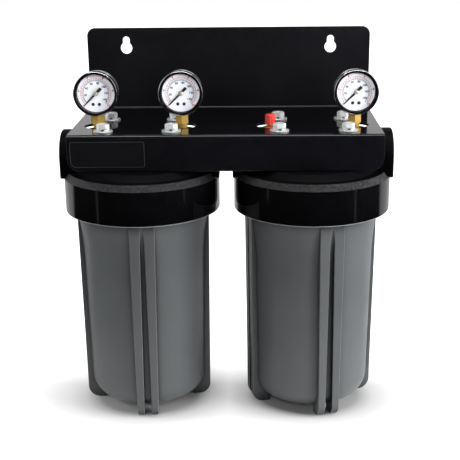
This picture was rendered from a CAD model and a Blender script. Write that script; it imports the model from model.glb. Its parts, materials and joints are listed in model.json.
import json
import math

import bpy
from mathutils import Matrix, Vector


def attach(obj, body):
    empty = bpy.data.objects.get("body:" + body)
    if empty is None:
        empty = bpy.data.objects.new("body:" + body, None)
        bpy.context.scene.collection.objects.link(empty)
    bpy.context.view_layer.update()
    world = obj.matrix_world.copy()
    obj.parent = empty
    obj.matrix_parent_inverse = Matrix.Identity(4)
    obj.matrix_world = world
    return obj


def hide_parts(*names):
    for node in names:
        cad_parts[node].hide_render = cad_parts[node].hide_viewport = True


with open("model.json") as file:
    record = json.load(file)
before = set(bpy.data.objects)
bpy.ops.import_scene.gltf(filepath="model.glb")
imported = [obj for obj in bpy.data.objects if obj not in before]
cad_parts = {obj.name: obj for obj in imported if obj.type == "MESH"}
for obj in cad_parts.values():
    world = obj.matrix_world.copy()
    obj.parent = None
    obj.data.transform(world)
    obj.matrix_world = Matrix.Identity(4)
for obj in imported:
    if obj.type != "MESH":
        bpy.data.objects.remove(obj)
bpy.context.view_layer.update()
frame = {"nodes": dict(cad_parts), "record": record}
print("frame loaded")

# Places that several pieces share, in metres
stageX = (-0.1005, 0.1005)
axisY = -0.0162
shelfTop = 0.342
shelfUnder = 0.339
portHeight = 0.308
ringTop = 0.2925
skirtTop = 0.285
ringBottom = 0.2444
threadLead = 0.008
threadSink = 0.0003
tiny = 0.00001
fullTurn = math.tau


# Modelling helpers


def activate(*pieces):
    bpy.ops.object.select_all(action="DESELECT")
    for piece in pieces:
        piece.select_set(True)
    bpy.context.view_layer.objects.active = pieces[-1]


def applyPlace():
    bpy.ops.object.transform_apply(location=True, rotation=True, scale=True)


def editMesh(select=None):
    bpy.ops.object.mode_set(mode="EDIT")
    if select:
        bpy.ops.mesh.select_all(action=select)


def openMesh(piece):
    activate(piece)
    editMesh("SELECT")


def closeMesh():
    bpy.ops.object.mode_set(mode="OBJECT")


def tidyMesh(piece, mergeDistance=0.000002):
    openMesh(piece)
    bpy.ops.mesh.remove_doubles(threshold=mergeDistance)
    bpy.ops.mesh.normals_make_consistent(inside=False)
    closeMesh()


def planePiece(name, size, place):
    bpy.ops.object.select_all(action="DESELECT")
    bpy.ops.mesh.primitive_plane_add(size=size, location=place)
    piece = bpy.context.object
    piece.name = name
    return piece


def rodPiece(radius, length, place, steps):
    bpy.ops.object.select_all(action="DESELECT")
    bpy.ops.mesh.primitive_cylinder_add(
        vertices=steps, radius=radius, depth=length, location=place
    )
    return bpy.context.object


def boxPiece(size, place, tilt=0):
    bpy.ops.object.select_all(action="DESELECT")
    bpy.ops.mesh.primitive_cube_add(size=1, location=place, rotation=(0, tilt, 0))
    box = bpy.context.object
    box.scale = size
    applyPlace()
    return box


def tracePath(name, points, fill=False):
    # a plane collapsed to one corner, then drawn on from point to point
    piece = planePiece(name, 0.001, points[0])
    applyPlace()
    editMesh()
    bpy.ops.mesh.select_mode(type="VERT")
    bpy.ops.mesh.select_all(action="SELECT")
    bpy.ops.mesh.merge(type="CENTER")
    for last, point in zip(points, points[1:]):
        step = Vector(point) - Vector(last)
        bpy.ops.mesh.extrude_region_move(TRANSFORM_OT_translate={"value": step})
    bpy.ops.mesh.select_all(action="SELECT")
    if fill:
        bpy.ops.mesh.edge_face_add()
    closeMesh()
    return piece


def turnPiece(name, profile, centre, axis="Z", steps=96):
    # profile: (radius, place along the axis), closed back to its start
    along = {
        "X": lambda r, h: (h, centre[1], centre[2] + r),
        "Y": lambda r, h: (centre[0] + r, h, centre[2]),
        "Z": lambda r, h: (centre[0] + r, centre[1], h),
    }[axis]
    points = [along(r, h) for r, h in profile]
    piece = tracePath(name, points + points[:1])
    openMesh(piece)
    turnAxis = {"X": (1, 0, 0), "Y": (0, 1, 0), "Z": (0, 0, 1)}[axis]
    bpy.ops.mesh.spin(steps=steps, angle=fullTurn, center=centre, axis=turnAxis)
    closeMesh()
    tidyMesh(piece)
    return piece


def slabPiece(name, outline, depth):
    # a filled outline, pulled along depth
    piece = tracePath(name, outline, fill=True)
    openMesh(piece)
    bpy.ops.mesh.extrude_region_move(TRANSFORM_OT_translate={"value": depth})
    closeMesh()
    tidyMesh(piece)
    return piece


def rodProfile(radius, low, high):
    return [(0, low), (radius, low), (radius, high), (0, high)]


def edgedProfile(inner, outer, low, high, edge):
    # a ring's section with both outer edges broken
    profile = [(inner, low), (outer - edge, low), (outer, low + edge)]
    return profile + [(outer, high - edge), (outer - edge, high), (inner, high)]


def applyModifier(piece, name, kind, **values):
    modifier = piece.modifiers.new(name, kind)
    for label, value in values.items():
        setattr(modifier, label, value)
    activate(piece)
    bpy.ops.object.modifier_apply(modifier=modifier.name)
    return piece


def shapeWith(piece, tool, operation="DIFFERENCE", overlapping=False):
    applyModifier(
        piece,
        "Cut",
        "BOOLEAN",
        object=tool,
        operation=operation,
        solver="EXACT",
        use_self=overlapping,
    )
    bpy.data.objects.remove(tool)
    return piece


def roundEdges(piece, width, segments=2, sharpFrom=40):
    return applyModifier(
        piece,
        "Rounded",
        "BEVEL",
        width=width,
        segments=segments,
        limit_method="ANGLE",
        angle_limit=math.radians(sharpFrom),
        use_clamp_overlap=True,
    )


def smoothFaces(piece, angle=30):
    # wide faces decide the normals at their edges, so they stay flat in reflections
    activate(piece)
    bpy.ops.object.shade_smooth_by_angle(angle=math.radians(angle))
    return applyModifier(piece, "Even", "WEIGHTED_NORMAL", keep_sharp=True)


def movePiece(piece, offset=(0, 0, 0), turn=0, centre=(0, 0, 0)):
    place = Matrix.Translation(Vector(centre) + Vector(offset))
    place = place @ Matrix.Rotation(turn, 4, "Z") @ Matrix.Translation(-Vector(centre))
    piece.matrix_world = place @ piece.matrix_world
    activate(piece)
    applyPlace()
    return piece


def copyPiece(piece, name, **move):
    activate(piece)
    bpy.ops.object.duplicate()
    copy = bpy.context.object
    copy.name = name
    return movePiece(copy, **move)


def joinPieces(name, *pieces):
    activate(*pieces)
    bpy.ops.object.join()
    joined = bpy.context.object
    joined.name = name
    return joined


def arc(centreA, centreB, radius, start, end, steps):
    # points of an arc in any plane, from start to end in degrees
    points = []
    for step in range(steps + 1):
        angle = math.radians(start + (end - start) * step / steps)
        points.append((centreA + radius * math.cos(angle), centreB + radius * math.sin(angle)))
    return points


def sweepPiece(piece, angle, rise, steps, turns=1, axis="Z"):
    # sweeps a section along a helix and fills the two open ends
    applyModifier(
        piece,
        "Sweep",
        "SCREW",
        axis=axis,
        angle=angle,
        screw_offset=rise,
        iterations=turns,
        steps=steps,
        render_steps=steps,
        use_merge_vertices=False,
    )
    editMesh("DESELECT")
    bpy.ops.mesh.select_non_manifold()
    bpy.ops.mesh.fill_holes(sides=0)
    closeMesh()
    tidyMesh(piece)
    return piece


def threadPiece(name, place, root, crest, flank, lead, turns, start, axis="Z", steps=64):
    # a helical ridge around an axis through the place
    sunk = root - math.copysign(threadSink, crest - root)
    section = ((sunk, -flank / 2), (crest, -flank / 8), (crest, flank / 8), (sunk, flank / 2))
    if axis == "Z":
        points = [(r, 0, start + h) for r, h in section]
    else:
        points = [(start + h, 0, r) for r, h in section]
    piece = tracePath(name, points + points[:1])
    tidyMesh(piece)
    sweepPiece(piece, fullTurn, lead, steps, turns, axis)
    return smoothFaces(movePiece(piece, offset=place), 32)


def hexPiece(name, centre, corner, low, high, start, chamfer):
    # a hexagon's corners, broken by a turned shape
    hexagon = [
        (centre[0] + a, centre[1] + b, low) for a, b in arc(0, 0, corner, start, start + 300, 5)
    ]
    piece = slabPiece(name, hexagon, (0, 0, high - low))
    return shapeWith(piece, turnPiece("chamfer", chamfer, centre, steps=48), "INTERSECT")


def markFaces(piece, slotIndex, test):
    for face in piece.data.polygons:
        if test(face.center, face.normal):
            face.material_index = slotIndex


def giveFinishes(piece, *names):
    for name in names:
        if finishes[name].name not in piece.data.materials:
            piece.data.materials.append(finishes[name])


def placePiece(piece, finishName, body, slotName, *nodes):
    if finishName:
        giveFinishes(piece, finishName)
    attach(piece, body)
    if nodes:
        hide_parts(*nodes)


# Shader nodes, and groups for the effects that several finishes share


def setNode(node, values):
    # small letters name a node's own setting, a capital starts the name of an input
    for label, value in values.items():
        if label[0].isupper():
            node.inputs[label.replace("_", " ")].default_value = value
        else:
            setattr(node, label, value)
    return node


def addNode(tree, kind, **values):
    return setNode(tree.nodes.new("ShaderNode" + kind), values)


def addRange(tree, span, **values):
    return addNode(tree, "MapRange", From_Min=span[0], From_Max=span[1], **values)


def addMath(tree, kind, operation, value=None):
    # value: what its second input holds
    node = addNode(tree, kind, operation=operation)
    if value is not None:
        node.inputs[1].default_value = value
    return node


def linkNodes(tree, *links):
    # each link: a node, its output, the next node, its input
    for start, output, end, entry in links:
        tree.links.new(start.outputs[output], end.inputs[entry])


def newGroup(name, inputs, outputs):
    group = bpy.data.node_groups.new(name, "ShaderNodeTree")
    for label, value in inputs.items():
        kind = "NodeSocketColor" if isinstance(value, tuple) else "NodeSocketFloat"
        socket = group.interface.new_socket(name=label, in_out="INPUT", socket_type=kind)
        socket.default_value = value
    for label, kind in outputs.items():
        group.interface.new_socket(name=label, in_out="OUTPUT", socket_type="NodeSocket" + kind)
    return group, group.nodes.new("NodeGroupInput"), group.nodes.new("NodeGroupOutput")


def addCloud(group, start, span, least=0, **values):
    # noise in the object's own frame, spread out from a part of its range
    place = addNode(group, "TexCoord")
    cloud = addNode(group, "TexNoise", **values)
    spread = addRange(group, span, To_Min=least)
    linkNodes(
        group,
        (place, "Object", cloud, "Vector"),
        (start, "Scale", cloud, "Scale"),
        (cloud, "Fac", spread, "Value"),
    )
    return spread


def buildHazeGroup():
    # slow roughness changes, as on a surface that has been wiped by hand
    group, start, end = newGroup(
        "surfaceHaze", {"Scale": 30.0, "Low": 0.1, "High": 0.2}, {"Roughness": "Float"}
    )
    cloud = addCloud(group, start, (0.3, 0.7), Detail=4)
    linkNodes(
        group,
        (start, "Low", cloud, "To Min"),
        (start, "High", cloud, "To Max"),
        (cloud, "Result", end, "Roughness"),
    )
    return group


def buildGrainGroup():
    # fine bumps of a coat or a moulding
    group, start, end = newGroup(
        "fineGrain", {"Scale": 900.0, "Strength": 0.1, "Depth": 0.0001}, {"Normal": "Vector"}
    )
    place = addNode(group, "TexCoord")
    speck = addNode(group, "TexNoise", Detail=2)
    bump = addNode(group, "Bump")
    linkNodes(
        group,
        (place, "Object", speck, "Vector"),
        (start, "Scale", speck, "Scale"),
        (speck, "Fac", bump, "Height"),
        (start, "Strength", bump, "Strength"),
        (start, "Depth", bump, "Distance"),
        (bump, "Normal", end, "Normal"),
    )
    return group


def buildEdgeGroup():
    # lighter tone where edges catch handling, broken up by noise
    group, start, end = newGroup(
        "edgeWear",
        {"Body": (0.1, 0.1, 0.1, 1), "Worn": (0.3, 0.3, 0.3, 1), "Amount": 0.5, "Scale": 60.0},
        {"Color": "Color"},
    )
    shape = addNode(group, "NewGeometry")
    edge = addRange(group, (0.52, 0.6))
    cloud = addCloud(group, start, (0.35, 0.65), 0.4, Detail=5)
    both = addMath(group, "Math", "MULTIPLY")
    amount = addMath(group, "Math", "MULTIPLY")
    mix = addNode(group, "Mix", data_type="RGBA")
    linkNodes(
        group,
        (shape, "Pointiness", edge, "Value"),
        (edge, "Result", both, 0),
        (cloud, "Result", both, 1),
        (both, "Value", amount, 0),
        (start, "Amount", amount, 1),
        (amount, "Value", mix, "Factor"),
        (start, "Body", mix, "A"),
        (start, "Worn", mix, "B"),
        (mix, "Result", end, "Color"),
    )
    return group


def buildMottleGroup():
    # two close tones of one finish
    group, start, end = newGroup(
        "toneMottle",
        {"First": (0.5, 0.5, 0.5, 1), "Second": (0.6, 0.6, 0.6, 1), "Scale": 40.0},
        {"Color": "Color"},
    )
    cloud = addCloud(group, start, (0.3, 0.7), Detail=5, Roughness=0.6)
    mix = addNode(group, "Mix", data_type="RGBA")
    linkNodes(
        group,
        (cloud, "Result", mix, "Factor"),
        (start, "First", mix, "A"),
        (start, "Second", mix, "B"),
        (mix, "Result", end, "Color"),
    )
    return group


def buildTurningGroup():
    # tool marks left by a lathe, as rings stacked along Z
    group, start, end = newGroup(
        "toolMarks", {"Scale": 900.0, "Strength": 0.1}, {"Normal": "Vector"}
    )
    place = addNode(group, "TexCoord")
    rings = addNode(
        group, "TexWave", wave_type="BANDS", bands_direction="Z", Distortion=0.6, Detail=2
    )
    bump = addNode(group, "Bump", Distance=0.00005)
    linkNodes(
        group,
        (place, "Object", rings, "Vector"),
        (start, "Scale", rings, "Scale"),
        (rings, "Fac", bump, "Height"),
        (start, "Strength", bump, "Strength"),
        (bump, "Normal", end, "Normal"),
    )
    return group


hazeGroup = buildHazeGroup()
grainGroup = buildGrainGroup()
edgeGroup = buildEdgeGroup()
mottleGroup = buildMottleGroup()
turningGroup = buildTurningGroup()


def newFinish(name, **values):
    finish = bpy.data.materials.new(name)
    finish.use_nodes = True
    tree = finish.node_tree
    return finish, tree, setNode(tree.nodes["Principled BSDF"], values)


def addEffect(tree, group, **values):
    return addNode(tree, "Group", node_tree=group, **values)


def makeFinish(name, tones, haze, grain=None, worn=None, turned=None, grooves=None, **values):
    # tones: two colours and a scale; haze: low, high and a scale; grooves: reach and shade
    finish, tree, shader = newFinish(name, **values)
    first, second, scale = tones
    mottle = addEffect(tree, mottleGroup, First=(*first, 1), Second=(*second, 1), Scale=scale)
    colour = (mottle, "Color")
    if worn:
        tone, amount, scale = worn
        edge = addEffect(tree, edgeGroup, Worn=(*tone, 1), Amount=amount, Scale=scale)
        linkNodes(tree, (*colour, edge, "Body"))
        colour = (edge, "Color")
    if grooves:
        # darkest where the surface is shut in, as between two ribs
        reach, shade = grooves
        corner = addNode(tree, "AmbientOcclusion", samples=8, Distance=reach)
        depth = addRange(tree, (shade, 0.95), To_Min=0.04)
        dark = addNode(tree, "Mix", data_type="RGBA", blend_type="MULTIPLY", Factor=1)
        linkNodes(
            tree, (corner, "AO", depth, "Value"), (*colour, dark, "A"), (depth, "Result", dark, "B")
        )
        colour = (dark, "Result")
    low, high, scale = haze
    cloud = addEffect(tree, hazeGroup, Low=low, High=high, Scale=scale)
    linkNodes(
        tree, (*colour, shader, "Base Color"), (cloud, "Roughness", shader, "Roughness")
    )
    if grain:
        scale, strength, depth = grain
        bumps = addEffect(tree, grainGroup, Scale=scale, Strength=strength, Depth=depth)
        linkNodes(tree, (bumps, "Normal", shader, "Normal"))
    if turned:
        scale, strength = turned
        marks = addEffect(tree, turningGroup, Scale=scale, Strength=strength)
        linkNodes(tree, (marks, "Normal", shader, "Normal"))
    return finish


finishes = {
    "coat": makeFinish(
        "glossBlackCoat",
        ((0.0014, 0.0014, 0.0024), (0.0022, 0.0022, 0.0034), 14),
        (0.05, 0.09, 22),
        grain=(700, 0.04, 0.00004),
        worn=((0.05, 0.05, 0.055), 0.35, 120),
        IOR=1.55,
    ),
    "plateCoat": makeFinish(
        "satinBlackCoat",
        ((0.0030, 0.0030, 0.0042), (0.0042, 0.0042, 0.0056), 14),
        (0.30, 0.38, 22),
        grain=(700, 0.05, 0.00004),
        worn=((0.05, 0.05, 0.055), 0.5, 120),
    ),
    "ringGloss": makeFinish(
        "glossBlackMoulding",
        ((0.0007, 0.0007, 0.0009), (0.0014, 0.0014, 0.0018), 20),
        (0.05, 0.09, 18),
        grain=(350, 0.03, 0.00006),
        worn=((0.03, 0.03, 0.032), 0.5, 90),
    ),
    "ringGrain": makeFinish(
        "grainedBlackMoulding",
        ((0.0, 0.0, 0.0), (0.032, 0.032, 0.035), 340),
        (0.42, 0.6, 400),
        grain=(420, 1.0, 0.0009),
    ),
    "ringRim": makeFinish(
        "wornMouldingRim",
        ((0.13, 0.13, 0.135), (0.24, 0.24, 0.25), 120),
        (0.3, 0.45, 80),
        grain=(900, 0.2, 0.0001),
    ),
    "sump": makeFinish(
        "satinGreyMoulding",
        ((0.056, 0.060, 0.063), (0.064, 0.068, 0.071), 16),
        (0.40, 0.48, 25),
        grain=(1400, 0.12, 0.0001),
        grooves=(0.016, 0.42),
        IOR=1.5,
    ),
    "sumpEdge": makeFinish(
        "rubbedGreyMoulding",
        ((0.10, 0.104, 0.107), (0.15, 0.155, 0.16), 120),
        (0.35, 0.45, 60),
        grain=(1400, 0.12, 0.0001),
    ),
    "zinc": makeFinish(
        "brightZincPlate",
        ((0.84, 0.87, 0.87), (0.92, 0.93, 0.93), 260),
        (0.12, 0.22, 400),
        grain=(1200, 0.08, 0.00008),
        Metallic=0.4,
    ),
    "dullZinc": makeFinish(
        "dullZincPlate",
        ((0.52, 0.54, 0.54), (0.72, 0.74, 0.74), 260),
        (0.2, 0.32, 400),
        grain=(1200, 0.12, 0.00008),
        Metallic=0.5,
    ),
    "darkZinc": makeFinish(
        "springSteelPlate",
        ((0.06, 0.065, 0.065), (0.16, 0.17, 0.17), 300),
        (0.25, 0.38, 400),
        grain=(1200, 0.12, 0.00008),
        Metallic=0.6,
    ),
    "chrome": makeFinish(
        "polishedChrome",
        ((0.74, 0.74, 0.75), (0.8, 0.8, 0.81), 30),
        (0.10, 0.15, 60),
        Metallic=1.0,
    ),
    "caseSteel": makeFinish(
        "darkCaseSteel",
        ((0.30, 0.30, 0.31), (0.38, 0.38, 0.39), 120),
        (0.25, 0.35, 120),
        grain=(1500, 0.1, 0.00005),
        Metallic=0.9,
    ),
    "blackRing": makeFinish(
        "blackSealRing",
        ((0.0022, 0.0022, 0.0026), (0.0036, 0.0036, 0.0042), 200),
        (0.4, 0.52, 200),
        grain=(1500, 0.1, 0.00005),
        Specular_IOR_Level=0.04,
    ),
    "brass": makeFinish(
        "turnedBrass",
        ((0.92, 0.57, 0.13), (0.97, 0.66, 0.20), 90),
        (0.14, 0.24, 220),
        turned=(500, 0.025),
        Metallic=0.65,
    ),
    "hubMetal": makeFinish(
        "needleHubMetal",
        ((0.52, 0.48, 0.38), (0.66, 0.62, 0.52), 500),
        (0.2, 0.3, 300),
        grain=(2000, 0.08, 0.00004),
        Metallic=0.6,
    ),
    "enamel": makeFinish(
        "whiteDialEnamel",
        ((0.86, 0.86, 0.90), (0.90, 0.90, 0.93), 60),
        (0.3, 0.4, 80),
        grain=(2400, 0.05, 0.00004),
    ),
    "blackInk": makeFinish(
        "blackDialInk", ((0.02, 0.02, 0.03), (0.035, 0.035, 0.045), 900), (0.4, 0.5, 500)
    ),
    "redInk": makeFinish(
        "redDialInk", ((0.5, 0.03, 0.05), (0.58, 0.05, 0.07), 900), (0.4, 0.5, 500)
    ),
    "blackPaint": makeFinish(
        "blackNeedlePaint",
        ((0.001, 0.001, 0.001), (0.003, 0.003, 0.003), 300),
        (0.45, 0.6, 300),
        grain=(3000, 0.08, 0.00004),
    ),
    "blackScrew": makeFinish(
        "blackenedScrew",
        ((0.03, 0.03, 0.033), (0.07, 0.07, 0.075), 500),
        (0.25, 0.4, 400),
        grain=(2200, 0.1, 0.00005),
        Metallic=0.8,
    ),
    "red": makeFinish(
        "redMoulding",
        ((0.66, 0.018, 0.008), (0.74, 0.03, 0.014), 90),
        (0.2, 0.3, 120),
        grain=(1800, 0.08, 0.00006),
        worn=((0.9, 0.2, 0.16), 0.4, 200),
    ),
    "rubber": makeFinish(
        "blackRubber",
        ((0.012, 0.012, 0.012), (0.02, 0.02, 0.02), 200),
        (0.6, 0.75, 200),
        grain=(1500, 0.25, 0.0001),
    ),
    "white": makeFinish(
        "whiteMoulding",
        ((0.74, 0.74, 0.71), (0.79, 0.79, 0.76), 30),
        (0.35, 0.45, 60),
        grain=(900, 0.1, 0.0001),
    ),
    "pleats": makeFinish(
        "pleatedMedium",
        ((0.76, 0.76, 0.71), (0.84, 0.84, 0.8), 400),
        (0.85, 0.95, 300),
        grain=(700, 0.6, 0.0006),
        Sheen_Weight=0.3,
    ),
    "carbon": makeFinish(
        "pressedCarbon",
        ((0.01, 0.01, 0.01), (0.03, 0.03, 0.03), 900),
        (0.8, 0.95, 300),
        grain=(900, 0.8, 0.0005),
    ),
}


def makeGlassFinish():
    # clear window: shadows pass through it, so the dial keeps its light
    finish, tree, shader = newFinish(
        "clearWindow",
        Base_Color=(0.97, 0.98, 1.0, 1),
        Roughness=0.02,
        IOR=1.45,
        Transmission_Weight=1.0,
    )
    path = addNode(tree, "LightPath")
    clear = addNode(tree, "BsdfTransparent")
    mix = addNode(tree, "MixShader")
    linkNodes(
        tree,
        (path, "Is Shadow Ray", mix, "Fac"),
        (shader, "BSDF", mix, 1),
        (clear, "BSDF", mix, 2),
        (mix, "Shader", tree.nodes["Material Output"], "Surface"),
    )
    return finish


finishes["glass"] = makeGlassFinish()

slotFinishes = {
    "black_steel": "coat",
    "black_plastic": "ringGloss",
    "grey_plastic": "sump",
    "zinc_steel": "zinc",
    "red_plastic": "red",
    "rubber": "rubber",
    "white_plastic": "white",
    "filter_medium": "pleats",
    "carbon": "carbon",
    "brass": "brass",
    "chrome": "chrome",
    "glass": "glass",
    "dial_white": "enamel",
    "black_paint": "blackPaint",
    "black_screw": "blackScrew",
}
for part in frame["record"]["subparts"]:
    node = frame["nodes"][part["node"]]
    node.data.materials.clear()
    node.data.materials.append(finishes[slotFinishes[part["material_slot"]]])
print("finishes made")


# Bracket: one folded sheet

bracketPlan = {
    "width": 0.357,
    "sheet": 0.003,
    "plateMiddleY": 0.1067,
    "lipMiddleY": -0.0713,
    "plateTop": 0.443,
    "lipBottom": 0.3005,
    "bendRadius": 0.0031,
    "bendSteps": 8,
    "plateCorner": 0.010,
    "lipCorner": 0.014,
    "cornerSteps": 10,
    "edgeRound": 0.0005,
    "boltHole": 0.0045,
    "fittingHole": 0.0165,
    "keyholeX": 0.129,
    "keyholeZ": 0.4178,
    "keyholeRadius": 0.00725,
    "slotRadius": 0.0044,
    "slotRise": 0.010,
    "punchY": 0.1,
    "punchDepth": 0.015,
    "punchLength": 0.02,
}
boltOffsets = [(x * 0.039, y * 0.035) for x in (-1, 1) for y in (-1, 1)]
boltPlaces = [(x + dx, axisY + dy) for x in stageX for dx, dy in boltOffsets]
gaugeX = (-0.1495, -0.0515, 0.1495)
buttonX = 0.0515


def selectParts(mesh, parts, test):
    for part in (*mesh.vertices, *mesh.edges, *mesh.polygons):
        part.select = False
    for part in parts:
        part.select = test(part)


def makeBracket(plan):
    middle = shelfTop - plan["sheet"] / 2
    plateY, lipY = plan["plateMiddleY"], plan["lipMiddleY"]
    sheet = planePiece("bracketSheet", 1, (0, (plateY + lipY) / 2, middle))
    sheet.scale = (plan["width"], plateY - lipY, 1)
    applyPlace()
    mesh = sheet.data

    def endsOf(edge):
        return [mesh.vertices[index].co for index in edge.vertices]

    def isFold(edge):
        a, b = endsOf(edge)
        level = abs(a.z - middle) < tiny and abs(b.z - middle) < tiny
        return level and abs(a.y - b.y) < tiny

    for foldY, height in ((plateY, plan["plateTop"]), (lipY, plan["lipBottom"])):
        editMesh()
        bpy.ops.mesh.select_mode(type="EDGE")
        bpy.ops.mesh.select_all(action="DESELECT")
        closeMesh()
        selectParts(
            mesh, mesh.edges, lambda edge: max(abs(end.y - foldY) for end in endsOf(edge)) < tiny
        )
        editMesh()
        rise = (0, 0, height - middle)
        bpy.ops.mesh.extrude_region_move(TRANSFORM_OT_translate={"value": rise})
        closeMesh()
    selectParts(mesh, mesh.edges, isFold)
    editMesh()
    bpy.ops.mesh.bevel(
        offset=plan["bendRadius"], offset_type="OFFSET", segments=plan["bendSteps"], affect="EDGES"
    )
    bpy.ops.mesh.select_mode(type="VERT")
    closeMesh()
    for height, radius in (
        (plan["plateTop"], plan["plateCorner"]),
        (plan["lipBottom"], plan["lipCorner"]),
    ):
        selectParts(mesh, mesh.vertices, lambda point: abs(point.co.z - height) < tiny)
        editMesh()
        bpy.ops.mesh.bevel(
            offset=radius, offset_type="OFFSET", segments=plan["cornerSteps"], affect="VERTICES"
        )
        closeMesh()
    applyModifier(
        sheet, "Thick", "SOLIDIFY", thickness=plan["sheet"], offset=0, use_even_offset=True
    )
    tidyMesh(sheet)
    # punched holes: eight for bolts, four for the fittings, two keyholes
    length = plan["punchLength"]
    punches = [rodPiece(plan["boltHole"], length, (x, y, middle), 32) for x, y in boltPlaces]
    for x in (*gaugeX, buttonX):
        punches.append(rodPiece(plan["fittingHole"], length, (x, axisY, middle), 64))
    meet = math.degrees(math.asin(plan["slotRadius"] / plan["keyholeRadius"]))
    for side in (-1, 1):
        x, z = side * plan["keyholeX"], plan["keyholeZ"]
        outline = arc(x, z, plan["keyholeRadius"], 90 + meet, 450 - meet, 40)
        outline += arc(x, z + plan["slotRise"], plan["slotRadius"], 0, 180, 16)
        outline = [(a, plan["punchY"], b) for a, b in outline]
        punches.append(slabPiece("keyholePunch", outline, (0, plan["punchDepth"], 0)))
    tool = joinPieces("punches", *punches)
    tidyMesh(tool)
    shapeWith(sheet, tool)
    roundEdges(sheet, plan["edgeRound"], 3, 50)
    return smoothFaces(sheet)


bracket = makeBracket(bracketPlan)
giveFinishes(bracket, "coat", "plateCoat")
markFaces(bracket, 1, lambda centre, normal: abs(normal.y) > 0.99 and centre.z > shelfTop)
placePiece(bracket, None, "root", "black_steel", "bracket")

# Bare label plate, stuck on the lip, with a thin printed border
labelPlan = {
    "left": -0.1758,
    "right": -0.0898,
    "top": 0.3357,
    "bottom": 0.3048,
    "corner": 0.003,
    "lowCorner": 0.007,
    "front": -0.0728,
    "thick": 0.0004,
    "borderInset": 0.0009,
    "borderWidth": 0.00035,
    "borderThick": 0.00008,
    "edgeRound": 0.00012,
    "sunk": 0.0001,
}


def roundedOutline(plan):
    low, corner = plan["lowCorner"], plan["corner"]
    left, right = plan["left"] + corner, plan["right"] - corner
    top, bottom = plan["top"] - corner, plan["bottom"] + corner
    points = arc(plan["left"] + low, plan["bottom"] + low, low, 180, 270, 6)
    for a, b, start in ((right, bottom, 270), (right, top, 0), (left, top, 90)):
        points += arc(a, b, corner, start, start + 90, 6)
    return points


def makeLabel(plan):
    front, thick, sunk = plan["front"], plan["thick"], plan["sunk"]
    outline = roundedOutline(plan)
    back = [(a, front + sunk, b) for a, b in outline]
    plate = slabPiece("labelPlate", back, (0, -thick - sunk, 0))
    roundEdges(plate, plan["edgeRound"], 2, 50)
    smoothFaces(plate)
    # the border is the front face, inset twice
    border = tracePath("labelBorder", [(a, front - thick, b) for a, b in outline], fill=True)
    openMesh(border)
    bpy.ops.mesh.select_mode(type="FACE")
    bpy.ops.mesh.select_all(action="SELECT")
    bpy.ops.mesh.inset(thickness=plan["borderInset"])
    bpy.ops.mesh.select_all(action="INVERT")
    bpy.ops.mesh.delete(type="FACE")
    bpy.ops.mesh.select_all(action="SELECT")
    bpy.ops.mesh.inset(thickness=plan["borderWidth"])
    bpy.ops.mesh.delete(type="FACE")
    closeMesh()
    applyModifier(border, "Raised", "SOLIDIFY", thickness=plan["borderThick"], offset=0)
    tidyMesh(border)
    return plate, border


labelPlate, labelBorder = makeLabel(labelPlan)
finishes["labelFilm"] = makeFinish(
    "labelFilm", ((0.004, 0.004, 0.005), (0.006, 0.006, 0.007), 40), (0.16, 0.22, 40), IOR=1.45
)
finishes["labelInk"] = makeFinish(
    "labelBorderInk", ((0.038, 0.038, 0.042), (0.052, 0.052, 0.057), 300), (0.35, 0.45, 300)
)
placePiece(labelPlate, "labelFilm", "root", "black_steel")
placePiece(labelBorder, "labelInk", "root", "black_steel")
print("bracket made")


# Heads: a threaded ring with a domed cap, a port barrel and bosses on top

headPlan = {
    "ringRadius": 0.092,
    "chamferRadius": 0.0873,
    "skirtRound": 0.0016,
    "threadBore": 0.081,
    "ceiling": 0.284,
    "domeRadius": 0.078,
    "domeTopRadius": 0.070,
    "domeTop": 0.2995,
    "seatRadius": 0.0195,
    "seatBottom": 0.2697,
    "seatBore": 0.012,
    "barrelRadius": 0.022,
    "collarRadius": 0.030,
    "collarLength": 0.018,
    "reach": 0.093,
    "portRadius": 0.0165,
    "portDepth": 0.024,
    "passageRadius": 0.013,
    "passageDepths": (0.0605, 0.1065),
    "downRadius": 0.008,
    "downPlace": -0.042,
    "ribReach": 0.0496,
    "ribWidth": 0.005,
    "ribCount": 12,
    "bossRadius": 0.011,
    "boltBore": 0.0041,
    "boltDepth": 0.0233,
    "fittingX": 0.049,
    "fittingRadius": 0.015,
    "fittingTop": 0.338,
    "fittingBore": 0.0067,
    "fittingDepth": 0.0145,
    "seatLip": 0.004,
    "collarEdge": 0.0022,
    "wayEdge": 0.0005,
    "ribEdge": 0.0007,
    # where the grain and the worn edges are: heights and radii
    "chamferFrom": 0.087,
    "lowRim": (0.2456, 0.0903),
    "topRim": (0.29225, 0.29245, 0.0869, 0.0875),
    # threads: root, crest, flank, lead, turns and, where it doesn't change, the start
    "ringThread": (0.081, 0.0794, 0.0042, threadLead, 4, 0.2505),
    "portThread": (0.0165, 0.0154, 0.0021, 0.0022, 9),
    "portStarts": (-0.0915, 0.0705),
}


def bossPiece(name, place, bore, radius, top, depth, foot, steps):
    # a blind-bored post that stands in the cap from foot to top
    edge = 0.0006
    profile = [(bore, top - depth), (bore, top), (radius - edge, top), (radius, top - edge)]
    profile += [(radius, foot), (0, foot), (0, top - depth)]
    return turnPiece(name, profile, (*place, 0), steps=steps)


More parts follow.
